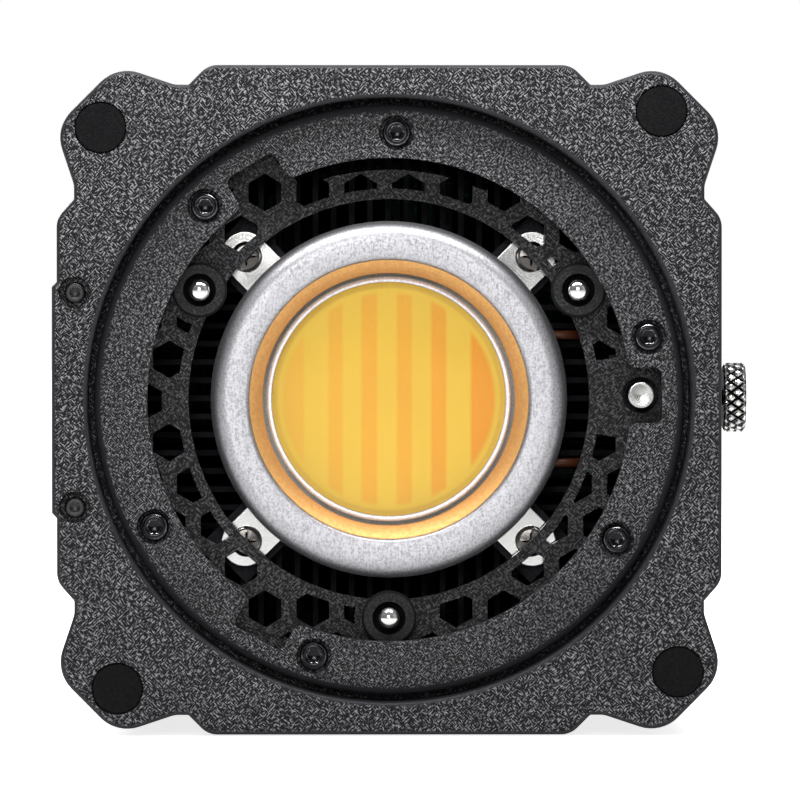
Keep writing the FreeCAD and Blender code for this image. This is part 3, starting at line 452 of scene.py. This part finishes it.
def finish_mesh(name, mesh, slot, body, replaced=(), smooth=35.0, place=(0, 0, 0), look=None):
    """Turns a bmesh into a piece that rides on a body; edges sharper than smooth degrees stay sharp.

    look names the material where it isn't the slot's own.
    """
    bmesh.ops.remove_doubles(mesh, verts=mesh.verts, dist=1e-7)
    bmesh.ops.recalc_face_normals(mesh, faces=mesh.faces)
    data = bpy.data.meshes.new(name)
    mesh.to_mesh(data)
    mesh.free()
    data.polygons.foreach_set("use_smooth", [True] * len(data.polygons))
    data.set_sharp_from_angle(angle=math.radians(smooth))
    piece = bpy.data.objects.new(name, data)
    piece.location = place
    scene.collection.objects.link(piece)
    paint(piece, look or slot)
    if body:
        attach(piece, body)
    if replaced:
        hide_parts(*replaced)
    return piece


def islands(node):
    """Lowest and highest corner of each separate solid in a node."""
    mesh = bmesh.new()
    mesh.from_mesh(nodes[node].data)
    bmesh.ops.remove_doubles(mesh, verts=mesh.verts, dist=1e-6)
    left = set(mesh.verts)
    boxes = []
    while left:
        waiting = [left.pop()]
        found = []
        while waiting:
            vert = waiting.pop()
            found.append(vert.co)
            for edge in vert.link_edges:
                other = edge.other_vert(vert)
                if other in left:
                    left.remove(other)
                    waiting.append(other)
        low = Vector(min(c[i] for c in found) for i in range(3))
        high = Vector(max(c[i] for c in found) for i in range(3))
        boxes.append((low, high))
    mesh.free()
    return sorted(boxes, key=lambda pair: tuple(pair[0]))


def round_outline(radius, turn):
    return radius


def hex_outline(radius, turn):
    """Distance from the centre to a hexagon whose flats are radius away."""
    sixth = math.pi / 3
    return radius / math.cos(turn % sixth - sixth / 2)


def cross_outline(radius, turn):
    """Distance from the centre to the rim of a cross with four rounded arms."""
    waist = 0.34
    lobe = max(0.0, math.cos(4 * turn)) ** 3
    return radius * (waist + (1 - waist) * lobe)


def join_rings(mesh, rings):
    """Faces between following rings of vertices; a ring of one vertex is a point."""
    for first, second in zip(rings, rings[1:]):
        count = max(len(first), len(second))
        for k in range(count):
            n = (k + 1) % count
            corners = [first[k % len(first)], first[n % len(first)], second[n % len(second)],
                       second[k % len(second)]]
            mesh.faces.new(list(dict.fromkeys(corners)))


def lathe(mesh, centre, profile, count=96, way=1):
    """Turned shape along Y. A profile step is (radius, y) or (radius, y, outline); radius 0 closes an end."""
    rings = []
    for radius, y, *outline in profile:
        across = outline[0] if outline else round_outline
        place = centre.y + way * y
        if radius == 0:
            rings.append([mesh.verts.new((centre.x, place, centre.z))])
            continue
        ring = []
        for k in range(count):
            turn = 2 * math.pi * k / count
            reach = across(radius, turn)
            ring.append(mesh.verts.new((centre.x + reach * math.cos(turn), place,
                                        centre.z + reach * math.sin(turn))))
        rings.append(ring)
    join_rings(mesh, rings)


def arc(middle, radius, start, end, steps=8):
    """Points (radius, y) of a rounded edge; angles in degrees, 0 points outwards and 90 to the back."""
    points = []
    for k in range(steps + 1):
        turn = math.radians(start + (end - start) * k / steps)
        points.append((middle[0] + radius * math.cos(turn), middle[1] + radius * math.sin(turn)))
    return points


# ---- screws -----------------------------------------------------------------


def socket_screws(name, node, look, head_height, key, way=1):
    """Socket-head screws with a rolled rim and a deep hexagon, in the places of a node's solids.

    head_height and key, the hexagon's width, are in mm. way is 1 for a head that faces the front and -1
    for one that faces the back.
    """
    mesh = bmesh.new()
    for low, high in islands(node):
        head_r = (high.x - low.x) / 2
        head = head_height * MM
        length = high.y - low.y
        centre = (low + high) / 2
        centre.y = low.y if way == 1 else high.y
        rim = 0.34 * head_r
        flat = key / 2 * MM
        shank = 0.53 * head_r
        profile = [(0, 0.8 * head), (0.6 * flat, 0.78 * head)]
        profile += [(flat, 0.7 * head, hex_outline), (flat, 0.06 * head_r, hex_outline)]
        profile += [(1.2 * flat, 0.01 * head_r)]
        profile += arc((head_r - rim, rim), rim, -90, 0)
        profile += [(head_r, head), (shank, head), (shank, length - 0.3 * shank), (0.7 * shank, length),
                    (0, length)]
        lathe(mesh, centre, profile, 48, way)
    finish_mesh(name, mesh, "dark_screw", "head", [node], look=look)


def cross_screws(name, node, look):
    """Pan-head screws with a pressed cross."""
    mesh = bmesh.new()
    for low, high in islands(node):
        head_r = (high.x - low.x) / 2
        head = 0.56 * head_r
        length = high.y - low.y
        centre = (low + high) / 2
        centre.y = low.y
        shank = 0.48 * head_r
        cross = [(0.16, 0.5), (0.5, 0.3), (0.62, 0.08)]      # radius and depth, in head radii
        profile = [(0, 0.55 * head_r)]
        profile += [(radius * head_r, depth * head_r, cross_outline) for radius, depth in cross]
        profile += [(0.7 * head_r, 0.1 * head_r)]
        profile += arc((0.68 * head_r, 0.42 * head_r), 0.32 * head_r, -80, 0)
        profile += [(head_r, head), (shank, head), (shank, length), (0, length)]
        lathe(mesh, centre, profile, 64)
    finish_mesh(name, mesh, "nickel", "head", [node], look=look)


# ---- light engine -----------------------------------------------------------

ROUND = 192      # corners round the large rings


def lamp_ring():
    """Satin ring with a wide rounded shoulder."""
    low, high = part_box("lamp_ring")
    outer = (high.z - low.z) / 2
    inner = radius_of("reflector_cone") + 0.02 * MM
    lip = 0.55 * MM
    shoulder = 2.3 * MM
    mesh = bmesh.new()
    profile = [(inner, high.y)] + arc((inner + lip, low.y + lip), lip, 180, 270, 6)
    profile += arc((outer - shoulder, low.y + shoulder), shoulder, -90, 0, 16)
    profile += [(outer, high.y), (inner, high.y)]
    lathe(mesh, CENTRE, profile, ROUND)
    finish_mesh("lamp_ring_satin", mesh, "silver", "head", ["lamp_ring"])


def reflector_cone():
    """Warm cone, painted amber as a reflection of the phosphor, slightly hollow, that runs in to the glass.
    """
    low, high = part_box("reflector_cone")
    rim = radius_of("reflector_cone")
    throat = rim - 1.75 * MM
    floor = 0.9 * MM
    hollow = 0.22 * MM
    steps = 12
    curve = []
    for k in range(steps + 1):
        t = k / steps
        bulge = hollow * math.sin(math.pi * t)
        curve.append((rim + (throat - rim) * t - bulge * 0.4, low.y + (high.y - floor - low.y) * t - bulge))
    mesh = bmesh.new()
    lathe(mesh, CENTRE, curve + [(throat, high.y), (rim, high.y), curve[0]], ROUND)
    finish_mesh("reflector_cone_warm", mesh, "reflector", "head", ["reflector_cone"])


def glass_ring():
    """Thin bright ring round the glass."""
    low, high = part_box("glass_ring")
    outer = radius_of("glass_ring") - 0.15 * MM
    inner = outer - 0.55 * MM
    edge = 0.2 * MM
    mesh = bmesh.new()
    profile = [(inner, high.y)] + arc((inner + edge, low.y + edge), edge, 180, 360, 12)
    profile += [(outer, high.y - 0.5 * MM), (outer, high.y), (inner, high.y)]
    lathe(mesh, CENTRE, profile, ROUND)
    finish_mesh("glass_ring_bright", mesh, "nickel", "head", ["glass_ring"], look="dam")


# ---- pins, springs and knob -------------------------------------------------

PLUNGER_SIDES = ("right", "left", "bottom")


def plunger_pins():
    """Domed pins with a polished tip, a collar that the spring pushes on and a thin tail."""
    neck = 1.5 * MM              # where the shank starts, behind the tip
    chamfer = 0.05 * MM
    collar_front = 4.0 * MM
    collar_back = 5.0 * MM
    for side in PLUNGER_SIDES:
        node = "plunger_pin_" + side
        low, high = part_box(node)
        middle = middle_of(node)
        collar = radius_of(node)
        length = high.y - low.y
        dome = 0.78 * collar
        shank = 0.61 * collar
        tail = 0.34 * collar
        profile = [(0, 0)] + [(radius, 0.9 * depth) for radius, depth in arc((0, dome), dome, -86, 0, 16)]
        profile += [(dome, neck), (shank, neck + chamfer), (shank, collar_front), (collar, collar_front),
                    (collar, collar_back), (tail, collar_back), (tail, length), (0, length)]
        mesh = bmesh.new()
        lathe(mesh, CENTRE, profile, 64)
        finish_mesh(node + "_dome", mesh, "steel", "plunger_" + side, [node],
                    place=(middle.x, low.y, middle.z), look="nickel")


def coil(mesh, radius, wire, length, turns):
    """Round wire wound about the Y axis, from y = 0 to y = length; radius is that of the wire's middle."""
    steps = 24 * turns
    sides = 10
    rings = []
    for step in range(steps + 1):
        angle = 2 * math.pi * turns * step / steps
        outward = Vector((math.cos(angle), 0, math.sin(angle)))
        middle = outward * radius + Vector((0, wire + (length - 2 * wire) * step / steps, 0))
        ring = []
        for side in range(sides):
            round_wire = 2 * math.pi * side / sides
            offset = outward * math.cos(round_wire) + Vector((0, math.sin(round_wire), 0))
            ring.append(mesh.verts.new(middle + offset * wire))
        rings.append(ring)
    join_rings(mesh, rings)
    mesh.faces.new(rings[0])
    mesh.faces.new(rings[-1])


def springs():
    """Coiled springs between the moving piece in front and the head behind."""
    wire = 0.3 * MM
    movers = {"lock_spring": ("lock_slider", 5)}
    for side in PLUNGER_SIDES:
        movers["plunger_spring_" + side] = ("plunger_" + side, 3)
    for node, (body, turns) in movers.items():
        low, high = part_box(node)
        middle = middle_of(node)
        mesh = bmesh.new()
        coil(mesh, radius_of(node) - wire, wire, high.y - low.y, turns)
        piece = finish_mesh(node + "_coil", mesh, "spring_steel", None, [node], smooth=60.0,
                            place=(middle.x, low.y, middle.z))
        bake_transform(piece)


def turned_pin():
    """Lock pin with a flat turned end and a small dimple in its middle."""
    low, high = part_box("lock_pin")
    middle = middle_of("lock_pin")
    radius = radius_of("lock_pin")
    length = high.y - low.y
    edge = 0.2 * MM
    profile = [(0, 0.12 * MM), (0.1 * MM, 0.02 * MM), (0.2 * MM, 0)]
    profile += [(radius - edge - 0.02 * MM, 0)] + arc((radius - edge, edge), edge, -90, 0, 5)
    profile += [(radius, length), (0, length)]
    mesh = bmesh.new()
    lathe(mesh, CENTRE, profile, 96)
    finish_mesh("lock_pin_turned", mesh, "steel", "lock_slider", ["lock_pin"],
                place=(middle.x, low.y, middle.z), look="pin")


def zigzag(phase):
    """1 at whole numbers, 0 halfway between them."""
    return abs(2 * (phase % 1.0) - 1)


def knurl_reach(t, turned):
    """Radius of the knurled rim, t of the way across it and turned (0 to 1) round it."""
    teeth = 19
    slant = 1.6                  # teeth that a groove crosses from side to side
    depth = 0.5 * MM
    rounding = 0.5 * MM
    wind = teeth * turned
    cut = min(zigzag(wind + slant * t), zigzag(wind - slant * t))
    groove = depth * min(1.0, 6 * t, 6 * (1 - t)) * (1 - min(1.0, 1.9 * cut))
    shoulder = rounding * (1 - math.sin(math.pi / 2 * min(1.0, 8 * t, 8 * (1 - t))))
    return KNOB_R - shoulder - groove


def knurled_knob():
    """Knob on a stem, whose rim carries a diamond knurl and whose face is slightly dished."""
    around = 190
    along = 26
    middle = (knob_low + knob_high) / 2
    face = knob_high.x
    back = face - 3.0 * MM
    mesh = bmesh.new()

    def ring(x, reaches):
        corners = []
        for k, reach in enumerate(reaches):
            turn = 2 * math.pi * k / around
            corners.append(mesh.verts.new((x, middle.y + reach * math.cos(turn),
                                           middle.z + reach * math.sin(turn))))
        return corners

    def plain(x, radius):
        return ring(x, [radius] * around)

    stem = 1.0 * MM
    rings = [plain(knob_low.x, stem), plain(back, stem), plain(back, KNOB_R - 0.8 * MM)]
    for i in range(along + 1):
        t = i / along
        rings.append(ring(back + (face - back) * t, [knurl_reach(t, k / around) for k in range(around)]))
    rings += [plain(face, KNOB_R - 0.9 * MM), plain(face - 0.25 * MM, KNOB_R - 1.3 * MM)]
    join_rings(mesh, rings)
    mesh.faces.new(rings[0])
    mesh.faces.new(rings[-1])
    finish_mesh("lock_knob_knurled", mesh, "steel", "lock_slider", ["lock_knob"], smooth=25, look="knurl")


# ---- marks on the controls --------------------------------------------------


def dial_pointers():
    """A raised pale line on each dial."""
    for node in ("brightness_dial", "colour_dial"):
        middle = middle_of(node)
        radius = radius_of(node)
        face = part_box(node)[1].y
        mesh = bmesh.new()
        bmesh.ops.create_cube(mesh, size=1.0)
        size = Matrix.Diagonal((0.7 * MM, 0.3 * MM, 0.5 * radius, 1.0))
        spot = Matrix.Translation((middle.x, face - 0.1 * MM, middle.z + 0.62 * radius))
        bmesh.ops.transform(mesh, matrix=spot @ size, verts=mesh.verts)
        bmesh.ops.bevel(mesh, geom=mesh.edges[:], offset=0.12 * MM, segments=2, affect="EDGES")
        finish_mesh(node + "_pointer", mesh, "dam", node)


# ---- floor, light and camera ------------------------------------------------


def make_floor():
    """Pale floor that the camera sees glowing, so that it fades into the white room."""
    half_width = 6.0
    gap = 0.2 * MM
    mesh = bmesh.new()
    bmesh.ops.create_grid(mesh, x_segments=8, y_segments=8, size=half_width)
    data = bpy.data.meshes.new("floor")
    mesh.to_mesh(data)
    mesh.free()
    floor = bpy.data.objects.new("floor", data)
    floor.location = (0, 0, cad_low.z - gap)
    scene.collection.objects.link(floor)
    s = Surface("floor_white", (0.93, 0.93, 0.93), 0.9)
    s.set("Specular IOR Level", 0.1)
    reach = s.distance(s.along(s.place, "X"), s.along(s.place, "Y"))
    glow = s.spread(reach, 0.1, 0.8, 0.8, 0.97)
    seen = s.add("ShaderNodeLightPath").outputs["Is Camera Ray"]
    s.set("Emission Color", (1, 1, 1, 1))
    s.feed("Emission Strength", s.math("MULTIPLY", glow, seen))
    data.materials.append(s.material)


def make_world():
    """A white room to look at that lights the object only softly, more from above."""
    world = bpy.data.worlds.new("studio")
    world.use_nodes = True
    tree = world.node_tree
    seen = tree.nodes["Background"]
    seen.inputs["Color"].default_value = (1, 1, 1, 1)
    seen.inputs["Strength"].default_value = 1.0
    soft = tree.nodes.new("ShaderNodeBackground")
    soft.inputs["Color"].default_value = (0.95, 0.97, 1.0, 1)
    way = tree.nodes.new("ShaderNodeTexCoord")
    split = tree.nodes.new("ShaderNodeSeparateXYZ")
    rise = tree.nodes.new("ShaderNodeMapRange")
    for socket, value in (("From Min", -0.6), ("From Max", 0.8), ("To Min", 0.02), ("To Max", 0.36)):
        rise.inputs[socket].default_value = value
    tree.links.new(way.outputs["Generated"], split.inputs[0])
    tree.links.new(split.outputs["Z"], rise.inputs["Value"])
    tree.links.new(rise.outputs[0], soft.inputs["Strength"])
    path = tree.nodes.new("ShaderNodeLightPath")
    mix = tree.nodes.new("ShaderNodeMixShader")
    tree.links.new(path.outputs["Is Camera Ray"], mix.inputs[0])
    tree.links.new(soft.outputs[0], mix.inputs[1])
    tree.links.new(seen.outputs[0], mix.inputs[2])
    tree.links.new(mix.outputs[0], tree.nodes["World Output"].inputs["Surface"])
    scene.world = world


def area_light(name, place, size, power, aim=(0, 0.03, 0)):
    """Rectangular light of size metres and power watts that points at aim."""
    lamp = bpy.data.lights.new(name, "AREA")
    lamp.shape = "RECTANGLE"
    lamp.size, lamp.size_y = size
    lamp.energy = power
    light = bpy.data.objects.new(name, lamp)
    light.location = place
    light.visible_camera = False
    way = Vector(aim) - Vector(place)
    light.rotation_euler = way.to_track_quat("-Z", "Y").to_euler()
    scene.collection.objects.link(light)


def make_lights():
    area_light("key", (-0.07, -0.9, 0.2), (0.25, 0.25), 2.4)
    area_light("strip", (-0.005, -0.05, 0.12), (0.16, 0.02), 0.24, aim=(0, 0, 0.01))
    area_light("fill", (0.8, -0.6, 0.15), (0.5, 0.8), 0.3)
    area_light("top", (0.0, 0.3, 0.9), (1.2, 0.8), 8.0)
    area_light("back", (-0.5, 0.9, 0.5), (0.8, 0.5), 8.0)


def make_camera():
    """Long lens almost straight in front, a little above the axis and to the left of it."""
    distance = 0.95
    rise = math.radians(0.7)
    turn = math.radians(-0.6)
    view_width = 0.1058      # at the front face
    aim = Vector((0.0014, 0, 0))
    camera = bpy.data.cameras.new("camera")
    camera.sensor_width = 36.0
    camera.lens = camera.sensor_width * distance / view_width
    camera.clip_start = 0.01
    camera.clip_end = 100
    eye = bpy.data.objects.new("camera", camera)
    way = Vector((math.cos(rise) * math.sin(turn), -math.cos(rise) * math.cos(turn), math.sin(rise)))
    eye.location = aim + way * distance
    eye.rotation_euler = (aim - eye.location).to_track_quat("-Z", "Y").to_euler()
    scene.collection.objects.link(eye)
    scene.camera = eye


# ---- the whole scene --------------------------------------------------------

paint_frame()
socket_screws("ring_socket_screws", "mount_ring_screws", "dark_screw", 1.8, 1.7)
socket_screws("side_socket_screws", "side_plate_screws", "strip_screw", 1.3, 1.2)
socket_screws("cover_socket_screws", "rear_cover_screws", "dark_screw", 2.4, 2.0, way=-1)
cross_screws("bracket_cross_screws", "cob_bracket_screws", "bracket_screw")
lamp_ring()
reflector_cone()
glass_ring()
plunger_pins()
springs()
turned_pin()
knurled_knob()
dial_pointers()
make_floor()
make_world()
make_lights()
make_camera()
scene.view_settings.view_transform = "Standard"
